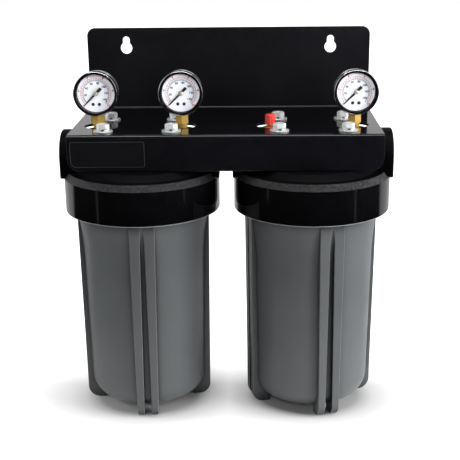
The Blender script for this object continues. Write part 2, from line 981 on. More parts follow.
def capProfile(plan):
    dome, top, foot = plan["domeTopRadius"], plan["domeTop"], plan["domeRadius"]
    chamfer, ring, curve = plan["chamferRadius"], plan["ringRadius"], plan["skirtRound"]
    bore, ceiling, seat = plan["threadBore"], plan["ceiling"], plan["seatRadius"]
    profile = [(0, top), (dome - 0.002, top), (dome, top - 0.0007)]
    profile += [(foot - 0.0006, ringTop + 0.0008), (foot, ringTop + 0.0001)]
    profile += [(foot + 0.0004, ringTop), (chamfer - 0.0003, ringTop)]
    profile += [(chamfer + 0.0001, ringTop - 0.0003), (ring - 0.0002, skirtTop + 0.0004)]
    profile += [(ring, skirtTop - 0.0001)]
    profile += arc(ring - curve, ringBottom + curve, curve, 0, -90, 6)
    profile += [(bore + 0.001, ringBottom), (bore, ringBottom + 0.001)]
    profile += [(bore, ceiling), (seat, ceiling), (seat, ceiling - plan["seatLip"])]
    inner, low = plan["seatBore"], plan["seatBottom"]
    return profile + [(inner + 0.0012, low), (inner, low), (inner, ringTop), (0, ringTop)]


def boreProfile(plan, side, face, depth):
    # a port with a broken edge, then the narrower passage
    port, passage = plan["portRadius"], plan["passageRadius"]
    mouth, step = port + 0.001, face - side * plan["portDepth"]
    profile = [(0, face + side * 0.004), (mouth, face + side * 0.004)]
    profile += [(mouth, face + side * 0.0001), (port, face - side * 0.0012), (port, step)]
    return profile + [(passage, step), (passage, face - side * depth), (0, face - side * depth)]


def makeHead(plan, centreX):
    centre = (centreX, axisY, 0)
    barrelCentre = (0, axisY, portHeight)
    reach, collarRadius = plan["reach"], plan["collarRadius"]
    ring = turnPiece("capRing", capProfile(plan), centre, steps=160)
    barrel = rodProfile(plan["barrelRadius"], centreX - reach, centreX + reach)
    shells = [turnPiece("barrel", barrel, barrelCentre, "X", 64)]
    for side in (-1, 1):
        outline = arc(axisY, portHeight, collarRadius, 0, 180, 32)
        outline += [(axisY - collarRadius, skirtTop), (axisY + collarRadius, skirtTop)]
        outline = [(centreX + side * reach, a, b) for a, b in outline]
        collar = slabPiece("collar", outline, (-side * plan["collarLength"], 0, 0))
        shells.append(roundEdges(collar, plan["collarEdge"], 4, 50))
    long, half = plan["ribReach"], plan["ribWidth"] / 2
    corners = ((-long, -half), (long, -half), (long, half), (-long, half))
    outline = [(centreX + a, axisY + b, ringTop) for a, b in corners]
    for step in range(plan["ribCount"] // 2):
        rib = slabPiece("rib", outline, (0, 0, portHeight - ringTop))
        roundEdges(rib, plan["ribEdge"], 2, 50)
        shells.append(movePiece(rib, turn=step * fullTurn / plan["ribCount"], centre=centre))
    bolt = (plan["boltBore"], plan["bossRadius"], shelfUnder, plan["boltDepth"], ringTop)
    for dx, dy in boltOffsets:
        shells.append(bossPiece("boltBoss", (centreX + dx, axisY + dy), *bolt, 40))
    top, bore = plan["fittingTop"], plan["fittingBore"]
    fitting = (bore, plan["fittingRadius"], top, plan["fittingDepth"], portHeight)
    for side in (-1, 1):
        place = (centreX + side * plan["fittingX"], axisY)
        shells.append(bossPiece("fittingBoss", place, *fitting, 48))

    head = joinPieces("headBody", *shells, ring)
    bores = []
    for side, depth in zip((-1, 1), plan["passageDepths"]):
        profile = boreProfile(plan, side, centreX + side * reach, depth)
        bores.append(turnPiece("bore", profile, barrelCentre, "X", 64))
    # water ways that meet the ports: under each fitting, down beside the seat, up through it
    narrow = bore - plan["wayEdge"]
    for offset, radius, end in (
        (-plan["fittingX"], narrow, top - 0.01),
        (plan["fittingX"], narrow, top - 0.01),
        (plan["downPlace"], plan["downRadius"], plan["ceiling"] - 0.001),
        (0, plan["seatBore"] - plan["wayEdge"], ringTop - 0.003),
    ):
        way = rodProfile(radius, portHeight, end)
        bores.append(turnPiece("way", way, (centreX + offset, axisY, 0), steps=40))
    shapeWith(head, joinPieces("bores", *bores), overlapping=True)
    tidyMesh(head)
    smoothFaces(head, 32)
    threads = [threadPiece("ringThread", centre, *plan["ringThread"])]
    place = (centreX, axisY, portHeight)
    for start in plan["portStarts"]:
        threads.append(threadPiece("portThread", place, *plan["portThread"], start, "X", 48))
    return joinPieces("headBody", *threads, head)


firstHead = makeHead(headPlan, stageX[0])
giveFinishes(firstHead, "ringGloss", "ringGrain", "ringRim", "blackRing")
axisPoint = Vector((stageX[0], axisY))


def onChamfer(centre, normal):
    out = (centre.xy - axisPoint).length
    wide = out > headPlan["chamferFrom"]
    return wide and skirtTop < centre.z < ringTop and 0.2 < normal.z < 0.9


def onRim(centre, normal):
    out = (centre.xy - axisPoint).length
    below, wide = headPlan["lowRim"]
    low, high, inner, outer = headPlan["topRim"]
    under = centre.z < below and out > wide and normal.z < -0.1
    return under or (low < centre.z < high and inner < out < outer)


markFaces(firstHead, 1, onChamfer)
markFaces(firstHead, 2, onRim)
markFaces(firstHead, 3, lambda centre, normal: centre.z > ringTop - 0.0002 and normal.z > 0.3)
secondHead = copyPiece(firstHead, "headBody2", offset=(stageX[1] - stageX[0], 0, 0))
firstHead.name = "headBody1"
for number, head in enumerate((firstHead, secondHead), 1):
    placePiece(head, None, "root", "black_plastic", f"head_{number}")
print("heads made")


# Nipple between the heads: a hexagon on a threaded pipe

nipplePlan = {
    "flats": 0.038,
    "half": 0.0072,
    "flatEdge": 0.0006,
    "cornerEdge": 0.0016,
    "pipe": 0.0163,
    "bore": 0.0125,
    "reach": 0.0312,
}


def makeNipple(plan):
    centre = (0, axisY, portHeight)
    corner, half = plan["flats"] / math.sqrt(3), plan["half"]
    flat, inner = plan["flats"] / 2 + plan["flatEdge"], half - plan["cornerEdge"]
    hexagon = [(-half, a, b) for a, b in arc(axisY, portHeight, corner, 0, 300, 5)]
    nut = slabPiece("nippleHex", hexagon, (half * 2, 0, 0))
    turned = [(0, -half), (flat, -half), (corner, -inner)]
    turned += [(corner, inner), (flat, half), (0, half)]
    shapeWith(nut, turnPiece("chamfer", turned, centre, "X", 64), "INTERSECT")
    shapeWith(nut, turnPiece("bore", rodProfile(plan["bore"], -0.02, 0.02), centre, "X", 48))
    roundEdges(nut, 0.0003)
    smoothFaces(nut)
    pipe = edgedProfile(plan["bore"], plan["pipe"], -plan["reach"], plan["reach"], 0.001)
    tube = smoothFaces(turnPiece("pipe", pipe, centre, "X", 48))
    return joinPieces("connectingNipple", tube, nut)


nipple = makeNipple(nipplePlan)
placePiece(nipple, "zinc", "root", "zinc_steel", "connecting_nipple")


# Sumps: a moulded bowl with four rib pairs and a threaded neck

sumpPlan = {
    "base": 0.007,
    "dishRadius": 0.034,
    "dishDepth": 0.002,
    "baseRadius": 0.0704,
    "baseCorner": 0.026,
    "waistRadius": 0.0734,
    "waistHeight": 0.1864,
    "flareRadius": 0.0793,
    "flareTop": 0.2441,
    "neckRoot": 0.0789,
    "neckThread": (0.08055, 0.0040, threadLead, 4, 0.2475),
    "neckTop": 0.2832,
    "neckBore": 0.07265,
    "bowlWaist": 0.0679,
    "bowlBase": 0.0649,
    "bowlFloor": 0.0145,
    "bowlCorner": 0.0205,
    "ribTop": 0.2404,
    "ribTopRadius": 0.0783,
    "ribBaseRadius": 0.0764,
    "ribFoot": 0.014,
    "ribInset": 0.022,
    "ribInner": 0.06765,
    "ribHalfTop": 0.01475,
    "ribHalfBase": 0.0125,
    "slotHalfTop": 0.0025,
    "slotHalfBase": 0.0044,
    "slotHalfEnd": 0.0006,
    "slotShoulder": 0.2204,
    "ribRound": 0.0009,
    "sealGroove": (0.07835, 0.07305, 0.2786),
    "seatRings": ((0.0195, 0.01675, 0.0211), (0.0126, 0.00985, 0.0311)),
    "ribPairs": 4,
    "turns": (4.0, 15.5),
}


def flareCurve(plan, steps):
    # leaves the taper smoothly and opens towards the ring
    waist, base, height = plan["waistRadius"], plan["base"], plan["waistHeight"]
    lean = (waist - plan["baseRadius"]) / (height - base)
    rise = plan["flareTop"] - height
    extra = plan["flareRadius"] - waist - lean * rise
    points = []
    for step in range(1, steps + 1):
        share = step / steps
        points.append((waist + lean * rise * share + extra * share**2, height + rise * share))
    return points


def makeSumpBowl(plan, place):
    base, corner, dish = plan["base"], plan["baseCorner"], plan["dishRadius"]
    neck, neckTop, bore = plan["neckRoot"], plan["neckTop"], plan["neckBore"]
    floor, curve = plan["bowlFloor"], plan["bowlCorner"]
    profile = [(0, base + plan["dishDepth"]), (dish - 0.001, base + plan["dishDepth"])]
    profile += [(dish, base + 0.001), (dish + 0.001, base)]
    profile += arc(plan["baseRadius"] - corner + 0.0004, base + corner, corner, -90, 0, 16)
    profile += [(plan["waistRadius"], plan["waistHeight"])]
    profile += flareCurve(plan, 12)
    profile += [(plan["flareRadius"] - 0.0004, plan["flareTop"]), (neck, plan["flareTop"] + 0.0005)]
    profile += [(neck, neckTop - 0.0008), (neck - 0.0008, neckTop)]
    # groove for the seal in the neck's top, then down the inside
    outer, inner, depth = plan["sealGroove"]
    profile += [(outer, neckTop), (outer, depth), (inner, depth), (inner, neckTop)]
    profile += [(bore, neckTop - 0.0004), (bore, ringBottom)]
    profile += [(plan["bowlWaist"], plan["waistHeight"])]
    profile += arc(plan["bowlBase"] - curve, floor + curve, curve, 0, -90, 10)
    # two rings on the floor, which hold the cartridge
    for outer, inner, top in plan["seatRings"]:
        profile += [(outer, floor), (outer, top), (inner, top), (inner, floor)]
    profile += [(0, floor)]
    bowl = turnPiece("sumpBowl", profile, place, steps=192)
    # this turned shell comes out facing inwards
    openMesh(bowl)
    bpy.ops.mesh.flip_normals()
    closeMesh()
    return smoothFaces(bowl, 32)


def makeRib(plan, side):
    # cut from two slabs: the view from the side and the view from the front
    base, foot, inner = plan["ribBaseRadius"], plan["ribFoot"], plan["ribInner"]
    inset, top = base - plan["ribInset"], plan["ribTop"]
    outline = [(inset, 0), (inset, plan["base"] + foot)]
    outline += [(inner, plan["base"] + plan["baseCorner"]), (inner, top)]
    outline += [(plan["ribTopRadius"], top)]
    outline += arc(base - foot, foot, foot, 0, -90, 10)
    rib = slabPiece("rib", [(a, -0.02, b) for a, b in outline], (0, 0.04, 0))
    front = [(plan["slotHalfBase"], -0.001), (plan["ribHalfBase"], -0.001)]
    front += [(plan["ribHalfTop"], top + 0.001), (plan["slotHalfEnd"], top + 0.001)]
    front += [(plan["slotHalfTop"], plan["slotShoulder"])]
    face = slabPiece("ribFront", [(0.05, side * a, b) for a, b in front], (0.04, 0, 0))
    shapeWith(rib, face, "INTERSECT")
    tidyMesh(rib)
    roundEdges(rib, plan["ribRound"], 3, 30)
    giveFinishes(rib, "sump", "sumpEdge")
    markFaces(rib, 1, lambda centre, normal: 0.3 < abs(normal.y) < 0.95 and normal.x > 0.3)
    return smoothFaces(rib, 32)


def makeSump(plan, number, centreX, turn):
    place = (centreX, axisY, 0)
    bowl = makeSumpBowl(plan, place)
    giveFinishes(bowl, "sump")
    parts = []
    for side in (-1, 1):
        rib = makeRib(plan, side)
        for step in range(plan["ribPairs"]):
            angle = math.radians(turn) + step * fullTurn / plan["ribPairs"]
            parts.append(movePiece(copyPiece(rib, "rib", turn=angle), offset=place))
        bpy.data.objects.remove(rib)
    ridge = threadPiece("neckThread", place, plan["neckRoot"], *plan["neckThread"])
    giveFinishes(ridge, "sump")
    return joinPieces(f"sumpBowl{number}", *parts, ridge, bowl)


for number, centreX in enumerate(stageX, 1):
    sump = makeSump(sumpPlan, number, centreX, sumpPlan["turns"][number - 1])
    placePiece(sump, "sump", f"sump_{number}", "grey_plastic", f"sump_{number}")
print("sumps made")


# Bolts, split washers and flat washers

boltPlan = {
    "flats": 0.013,
    "headHeight": 0.0053,
    "shank": 0.004,
    "length": 0.028,
    # flank, lead and turns
    "thread": (0.0011, 0.00125, 17),
    # radius and height above the head's top
    "dish": ((0, -0.0004), (0.0028, -0.0003), (0.0034, 0.0005), (0, 0.0005)),
    "springRadius": 0.0074,
    "springThick": 0.002,
    "springGap": 0.004,
    "springRise": 0.0002,
    "flatRadius": 0.011,
    "flatThick": 0.0018,
    "bore": 0.0043,
    "turns": (0, 7, -5, 3, 9, -8, 4, -3),
}


def makeBolt(plan, place):
    centre = (*place, 0)
    seat = shelfTop + plan["flatThick"] + plan["springThick"]
    top, low = seat + plan["headHeight"], seat - plan["length"]
    corner, flat, root = plan["flats"] / math.sqrt(3), plan["flats"] / 2, plan["shank"] - 0.0004
    dome = [(0, top), (flat - 0.0002, top), (corner, top - 0.0009)]
    dome += [(corner, seat + 0.0004), (flat, seat), (0, seat)]
    head = hexPiece("boltHead", centre, corner, seat, top, 0, dome)
    dish = [(r, top + h) for r, h in plan["dish"]]
    shapeWith(head, turnPiece("dish", dish, centre, steps=32))
    roundEdges(head, 0.00022, 2, 35)
    smoothFaces(head)
    shaft = [(0, seat + 0.0005), (root, seat + 0.0005), (root, low + 0.001)]
    shaft += [(plan["shank"] - 0.0013, low), (0, low)]
    shank = smoothFaces(turnPiece("shank", shaft, centre, steps=32))
    thread = threadPiece(
        "boltThread", centre, root, plan["shank"], *plan["thread"], low + 0.0015, steps=20
    )
    giveFinishes(head, "zinc")
    giveFinishes(shank, "darkZinc")
    giveFinishes(thread, "darkZinc")
    return joinPieces("bolt", thread, shank, head)


def makeSplitWasher(plan, place):
    low = shelfTop + plan["flatThick"]
    inner, outer = plan["bore"], plan["springRadius"]
    start, end = low + 0.0001, low + plan["springThick"] - 0.0003
    profile = [(inner, start), (outer, start), (outer, end), (inner, end)]
    washer = tracePath("splitWasher", [(r, 0, h) for r, h in profile], fill=True)
    gap = plan["springGap"] / outer
    sweepPiece(washer, fullTurn - gap, plan["springRise"], 40)
    roundEdges(washer, 0.00015)
    # the gap faces the front
    movePiece(washer, turn=-math.pi / 2 + gap / 2)
    return smoothFaces(movePiece(washer, offset=(*place, 0)))


def makeFlatWasher(plan, place):
    low, high, edge = shelfTop, shelfTop + plan["flatThick"], 0.0003
    profile = edgedProfile(plan["bore"] + edge, plan["flatRadius"], low, high, edge)
    profile += [(plan["bore"], high - edge), (plan["bore"], low + edge)]
    return smoothFaces(turnPiece("flatWasher", profile, (*place, 0), steps=56))


def repeatAtBolts(make, name, turns):
    first = make(boltPlan, boltPlaces[0])
    centre = Vector((*boltPlaces[0], 0))
    copies = []
    for place, turn in zip(boltPlaces, turns):
        offset = Vector((*place, 0)) - centre
        copies.append(
            copyPiece(first, name, offset=offset, turn=math.radians(turn), centre=centre)
        )
    bpy.data.objects.remove(first)
    return joinPieces(name, *copies)


halfTurns = [turn / 2 for turn in boltPlan["turns"]]
for make, name, node, finish, turns in (
    (makeBolt, "hexBolts", "bolts", "zinc", boltPlan["turns"]),
    (makeSplitWasher, "splitWashers", "spring_washers", "zinc", halfTurns),
    (makeFlatWasher, "flatWashers", "flat_washers", "dullZinc", [0] * 8),
):
    placePiece(repeatAtBolts(make, name, turns), finish, "root", "zinc_steel", node)
print("fasteners made")


# Gauges: depths count from the stem's axis towards the front

gaugePlan = {
    "dialZ": 0.382,
    "caseRadius": 0.0243,
    "caseWall": 0.0009,
    "caseBack": -0.010,
    "caseFront": 0.014,
    "caseCorner": 0.003,
    "beadSink": 0.0006,
    "beadAt": (0.0058, 0.0064, 0.0072, 0.0078),
    "stemHole": 0.00856,
    "bezelRadius": 0.0257,
    "bezelInner": 0.0224,
    "bezelRound": 0.0014,
    "bezelBack": 0.0085,
    "bezelFront": 0.0175,
    "windowBack": 0.01405,
    "windowFront": 0.01585,
    "dialBack": 0.0102,
    "dialFront": 0.0108,
    "dialRadius": 0.0226,
    "dialEdge": 0.0217,
    "dialBore": 0.0012,
    "hexFlats": 0.0143,
    "hexBottom": 0.3446,
    "hexTop": 0.3595,
    # the stem's turned shape, radius and height, from its thread up
    "stem": (
        (0.0022, 0.324),
        (0.0056, 0.324),
        (0.0064, 0.3252),
        (0.0064, 0.3380),
        (0.0054, 0.3386),
        (0.0054, 0.3398),
        (0.0062, 0.3404),
        (0.0062, 0.3450),
        (0.0052, 0.3456),
        (0.0022, 0.3456),
    ),
    "thread": (0.0064, 0.0066, 0.0011, 0.0013, 9, 0.3255),
    "block": (0.013, 0.010, 0.0148),
    "blockZ": 0.3666,
    "screwX": 0.0036,
    "screwDrop": 0.0126,
    "screwRadius": 0.0019,
    "screwShank": 0.0009,
    "screwSlot": (0.005, 0.0007, 0.0004),
    "zeroAngle": 225,
    "sweep": 270,
}


def depthY(depth):
    return axisY - depth


def turnGauge(name, profile, x, steps=96):
    # profile: (radius, depth)
    return turnPiece(
        name, [(r, depthY(d)) for r, d in profile], (x, 0, gaugePlan["dialZ"]), "Y", steps
    )


def makeCase(plan, x):
    r, wall = plan["caseRadius"], plan["caseWall"]
    back, front, corner = plan["caseBack"], plan["caseFront"], plan["caseCorner"]
    inner = r - wall - plan["beadSink"]
    profile = [(0, back), (r - 0.0045, back)]
    profile += [(r - corner + a, back + corner + b) for a, b in arc(0, 0, corner, -90, 0, 6)][1:]
    # a rolled bead near the back
    sunk = r - plan["beadSink"]
    low, first, last, high = (back + place for place in plan["beadAt"])
    profile += [(r, low), (sunk, first), (sunk, last), (r, high), (r, front)]
    profile += [(r - wall, front), (inner, high), (inner, back + corner)]
    profile += [(r - 0.0035, back + wall), (0, back + wall)]
    case = turnGauge("gaugeCase", profile, x)
    shapeWith(case, rodPiece(plan["stemHole"], 0.02, (x, axisY, plan["dialZ"] - r - 0.005), 48))
    return smoothFaces(case, 32)


def makeBezel(plan, x):
    out, inner, turn = plan["bezelRadius"], plan["bezelInner"], plan["bezelRound"]
    back, front, bore = plan["bezelBack"], plan["bezelFront"], plan["caseRadius"] + 0.00005
    profile = [(bore, back), (out - 0.0005, back), (out, back + 0.0005)]
    profile += [(out, front - turn - 0.0005)]
    profile += [(out - turn + a, front - turn + b) for a, b in arc(0, 0, turn, 0, 90, 8)]
    profile += [(out - turn - 0.0004, front), (inner + 0.0003, front - 0.0011)]
    profile += [(inner, front - 0.0014), (inner, front - 0.0016), (bore, front - 0.0016)]
    return smoothFaces(turnGauge("gaugeBezel", profile, x, 128), 40)


def makeWindow(plan, x):
    profile = edgedProfile(
        0, plan["caseRadius"], plan["windowBack"], plan["windowFront"], 0.0002
    )
    return smoothFaces(turnGauge("gaugeWindow", profile, x), 40)


def makeDial(plan, x):
    r, bore = plan["dialRadius"], plan["dialBore"]
    back, front = plan["dialBack"], plan["dialFront"]
    profile = [(bore, back), (r - 0.0001, back), (r, back + 0.0001), (r, front - 0.0001)]
    profile += [(r - 0.0002, front), (plan["dialEdge"], front), (bore, front)]
    return smoothFaces(turnGauge("dialPlate", profile, x), 40)


printPlan = {
    "red": {
        "arc": (0.0174, 0.0178),
        "ticks": ((50, 0.0178, 0.0185, 0.00030), (5, 0.0178, 0.0191, 0.0006)),
        "numbers": ("0", "2", "4", "6", "8", "10"),
        "top": 10,
        "radius": 0.0202,
        "size": 0.0036,
    },
    "black": {
        "arc": (0.0144, 0.0147),
        "ticks": ((58, 0.0147, 0.0163, 0.00040), (29, 0.0147, 0.0170, 0.00055)),
        "numbers": ("0", "20", "40", "60", "80", "100", "120", "140"),
        "top": 145,
        "radius": 0.0121,
        "size": 0.0034,
    },
    "weight": 0.00014,
    "thick": 0.00004,
}


def dialPoint(x, radius, angle):
    return (
        x + radius * math.cos(angle),
        depthY(gaugePlan["dialFront"]),
        gaugePlan["dialZ"] + radius * math.sin(angle),
    )


def markStrip(name, x, inner, outer, halfAngle):
    zero = math.radians(gaugePlan["zeroAngle"])
    corners = ((inner, halfAngle), (outer, halfAngle * inner / outer))
    points = [dialPoint(x, r, zero + a) for r, a in corners]
    points += [dialPoint(x, r, zero - a) for r, a in reversed(corners)]
    return tracePath(name, points, fill=True)


def spreadMarks(piece, x, steps, copies):
    openMesh(piece)
    bpy.ops.mesh.spin(
        steps=steps,
        dupli=copies,
        angle=-math.radians(gaugePlan["sweep"]),
        center=(x, 0, gaugePlan["dialZ"]),
        axis=(0, 1, 0),
    )
    closeMesh()
    return piece


def makeMarks(name, x, plan):
    zero, sweep = gaugePlan["zeroAngle"], gaugePlan["sweep"]
    marks = []
    for count, inner, outer, width in plan["ticks"]:
        tick = markStrip("tick", x, inner, outer, width / inner / 2)
        marks.append(spreadMarks(tick, x, count, True))
    line = tracePath("ring", [dialPoint(x, r, math.radians(zero)) for r in plan["arc"]])
    marks.append(spreadMarks(line, x, 90, False))
    flat = joinPieces(name, *marks)
    applyModifier(flat, "Raised", "SOLIDIFY", thickness=printPlan["thick"], offset=0)
    letters = [flat]
    for number in plan["numbers"]:
        angle = math.radians(zero - sweep * float(number) / plan["top"])
        bpy.ops.object.select_all(action="DESELECT")
        place = dialPoint(x, plan["radius"], angle)
        bpy.ops.object.text_add(location=place, rotation=(math.pi / 2, 0, 0))
        text = bpy.context.object.data
        text.body = number
        text.size = plan["size"]
        text.align_x = text.align_y = "CENTER"
        text.extrude = printPlan["thick"] / 2
        text.offset = printPlan["weight"]
        text.resolution_u = 4
        bpy.ops.object.convert(target="MESH")
        letters.append(movePiece(bpy.context.object))
    marked = joinPieces(name, *reversed(letters))
    tidyMesh(marked, 0.0000005)
    return marked


pointerPlan = {
    "depth": 0.012,
    "thick": 0.0005,
    "length": 0.0196,
    "rootHalf": 0.0014,
    "tipHalf": 0.0006,
    "tailLength": 0.0088,
    "tailHalf": 0.0018,
    "hubRadius": 0.0028,
    "hubHeight": 0.0013,
    "slot": (0.006, 0.0006, 0.0004),
    "slotTurn": 35,
}


def makePointer(plan, x):
    zero = math.radians(gaugePlan["zeroAngle"])
    cos, sin, dialZ = math.cos(zero), math.sin(zero), gaugePlan["dialZ"]
    tail, wide = -plan["tailLength"], plan["tailHalf"]
    half = [(plan["length"], plan["tipHalf"]), (0, plan["rootHalf"]), (-0.0018, wide * 0.85)]
    half += [(tail + 0.0004, wide), (tail, wide - 0.0004)]
    outline = half + [(a, -b) for a, b in reversed(half)]
    y = depthY(plan["depth"])
    points = [(x + a * cos - b * sin, y, dialZ + a * sin + b * cos) for a, b in outline]
    needle = slabPiece("needle", points, (0, -plan["thick"], 0))
    roundEdges(needle, 0.0001)
    smoothFaces(needle)
    r, low, high = plan["hubRadius"], plan["depth"], plan["depth"] + plan["hubHeight"]
    profile = [(0, low), (r, low), (r, low + 0.0007), (r - 0.0003, low + 0.0009)]
    profile += [(r - 0.0008, low + 0.0009), (r - 0.001, high - 0.0002), (r - 0.0013, high)]
    hub = turnGauge("needleHub", profile + [(0, high)], x, 48)
    slot = boxPiece(plan["slot"], (x, depthY(high), dialZ), math.radians(plan["slotTurn"]))
    shapeWith(hub, slot)
    smoothFaces(hub)
    return needle, hub


def makeSocket(plan, x):
    centre = (x, axisY, 0)
    corner = plan["hexFlats"] / math.sqrt(3)
    low, high = plan["hexBottom"], plan["hexTop"]
    turned = [(0, low), (plan["hexFlats"] / 2 - 0.0002, low), (corner, low + 0.0011)]
    turned += [(corner, high), (0, high)]
    hexPart = hexPiece("socketHex", centre, corner, low, high, 30, turned)
    roundEdges(hexPart, 0.00025, 2, 35)
    smoothFaces(hexPart)
    shaft = smoothFaces(turnPiece("socketStem", plan["stem"], centre, steps=64), 32)
    thread = threadPiece("socketThread", centre, *plan["thread"], steps=32)
    # the block inside the case that holds the tube
    block = boxPiece(plan["block"], (x, axisY + 0.001, plan["blockZ"]))
    roundEdges(block, 0.0005)
    return joinPieces("gaugeSocket", thread, smoothFaces(block), shaft, hexPart)


def makeDialScrews(plan, x):
    r, low = plan["screwRadius"], plan["dialFront"]
    shank = plan["screwShank"]
    profile = [(0, low - 0.003), (shank, low - 0.003), (shank, low), (r, low), (r, low + 0.0003)]
    profile += [(r - 0.0003, low + 0.0006), (r - 0.0008, low + 0.0008), (0, low + 0.0008)]
    screws = []
    for side in (-1, 1):
        place = (x + side * plan["screwX"], 0, plan["dialZ"] - plan["screwDrop"])
        screw = turnPiece("dialScrew", [(a, depthY(b)) for a, b in profile], place, "Y", 32)
        middle = (place[0], depthY(low + 0.0008), place[2])
        shapeWith(screw, boxPiece(plan["screwSlot"], middle, math.radians(20 + 55 * side)))
        screws.append(smoothFaces(screw))
    return joinPieces("dialScrews", *screws)


firstX = gaugeX[0]
needle, hub = makePointer(pointerPlan, firstX)
bezel = makeBezel(gaugePlan, firstX)
dial = makeDial(gaugePlan, firstX)


def withinRadius(low, high):
    middle = Vector((firstX, 0, gaugePlan["dialZ"]))
    flat = Vector((1, 0, 1))
    return lambda centre, normal: normal.y < -0.3 and low < ((centre - middle) * flat).length < high


giveFinishes(bezel, "chrome", "blackRing")
markFaces(bezel, 1, withinRadius(0, gaugePlan["bezelRadius"] - gaugePlan["bezelRound"]))
giveFinishes(dial, "enamel", "blackRing")
markFaces(dial, 1, withinRadius(gaugePlan["dialEdge"], gaugePlan["caseRadius"]))
gaugePieces = [
    (makeCase(gaugePlan, firstX), "Case", "caseSteel", "root", "chrome", "case"),
    (bezel, "Bezel", "chrome", "root", "chrome", "bezel"),
    (makeWindow(gaugePlan, firstX), "Window", "glass", "root", "glass", "window"),
    (dial, "Dial", "enamel", "root", "dial_white", "dial"),
    (makeSocket(gaugePlan, firstX), "Socket", "brass", "root", "brass", "socket"),
    (needle, "Needle", "blackPaint", "pointer", "black_paint", "pointer"),
    (hub, "Hub", "hubMetal", "pointer", "brass", None),
]
for colour in ("red", "black"):
    marks = makeMarks(f"{colour}Print", firstX, printPlan[colour])
    gaugePieces.append((marks, f"{colour}Print", f"{colour}Ink", "root", "dial_white", None))
screwSets = []
firstScrews = makeDialScrews(gaugePlan, firstX)
for number, x in enumerate(gaugeX, 1):
    offset = (x - firstX, 0, 0)
    for piece, label, finish, body, slotName, node in gaugePieces:
        copy = copyPiece(piece, f"gauge{number}{label}", offset=offset)
        ridesOn = f"gauge_{number}_{body}" if body == "pointer" else body
        nodes = [f"gauge_{number}_{node}"] if node else []
        placePiece(copy, finish, ridesOn, slotName, *nodes)
    screwSets.append(copyPiece(firstScrews, "dialScrews", offset=offset))
for piece in [first[0] for first in gaugePieces] + [firstScrews]:
    bpy.data.objects.remove(piece)
allScrews = joinPieces("dialScrewHeads", *screwSets)
placePiece(allScrews, "blackScrew", "root", "black_screw", "dial_screws")
print("gauges made")


# Relief button: a fluted red cap on its stem

buttonPlan = {
    "radius": 0.006,
    "fluteDepth": 0.00035,
    "flutes": 20,
    "bottom": 0.3433,
    "height": 0.0123,
    "bore": 0.0047,
    "stem": 0.0019,
    "poppet": 0.0034,
    "poppetTop": 0.32425,
    "poppetBottom": 0.32225,
    "roof": 0.3543,
    "dome": ((0, 0), (0.0034, 0.0001), (0.0048, 0.0005), (0.0056, 0.0012), (0.0061, 0.0024)),
}


def makeButton(plan):
    centre = (buttonX, axisY, 0)
    bottom, roof, flutes = plan["bottom"], plan["roof"], plan["flutes"]
    top = bottom + plan["height"]
    steps = flutes * 8
    outline = []
    for step in range(steps):
        angle = fullTurn * step / steps
        r = plan["radius"] - plan["fluteDepth"] * (0.5 - 0.5 * math.cos(angle * flutes)) ** 1.5
        outline.append((buttonX + r * math.cos(angle), axisY + r * math.sin(angle), bottom))
    cap = slabPiece("buttonCap", outline, (0, 0, plan["height"]))
    dome = [(r, top - drop) for r, drop in plan["dome"]]
    dome += [(0.0061, bottom + 0.0004), (0.0056, bottom), (0, bottom)]
    shapeWith(cap, turnPiece("dome", dome, centre, steps=80), "INTERSECT")
    bore = rodProfile(plan["bore"], bottom - 0.002, roof)
    shapeWith(cap, turnPiece("bore", bore, centre, steps=48))
    smoothFaces(cap, 34)
    poppet, high, low = plan["poppet"], plan["poppetTop"], plan["poppetBottom"]
    stem = [(0, roof + 0.0003), (plan["stem"], roof + 0.0003), (plan["stem"], high)]
    stem += [(poppet, high), (poppet, low), (0, low)]
    pin = smoothFaces(turnPiece("buttonStem", stem, centre, steps=40))
    return joinPieces("reliefButtonCap", pin, cap)


reliefButton = makeButton(buttonPlan)
placePiece(reliefButton, "red", "relief_button", "red_plastic", "relief_button")
print("button made")


# Floor, light and camera

stagePlan = {
    "floorSize": 12.0,
    "floorColour": (0.38, 0.38, 0.38, 1),
    "bounceColour": (0.85, 0.85, 0.85, 1),
    "glowReach": 0.5,
    "glowAt": ((0.060, 0.0), (0.080, 0.32), (0.10, 0.49), (0.14, 0.72), (0.20, 0.93), (0.30, 1.2)),
    "glowForward": 0.014,
    "glowDepth": 1.25,
    "glowBehind": (0.0, 0.07, 0.4),
    "mirror": (0.25, 0.5, 0.012, 0.75),
    "wallInFront": 0.015,
    "wallAside": 0.7,
    "worldLight": 0.13,
    "cameraPlace": (0.03408, -1.15696, 0.56841),
    "cameraTurn": (72.7204, 0.5876, 1.3688),
    "focalPixels": 988.04,
    "imagePixels": 460,
    "sensor": 36,
}


def addRamp(tree, stops):
    # stops: place on the ramp and grey level
    ramp = addNode(tree, "ValToRGB")
    elements = ramp.color_ramp.elements
    while len(elements) < len(stops):
        elements.new(1)
    for element, (place, grey) in zip(elements, stops):
        element.position = place
        element.color = (grey, grey, grey, 1)
    return ramp


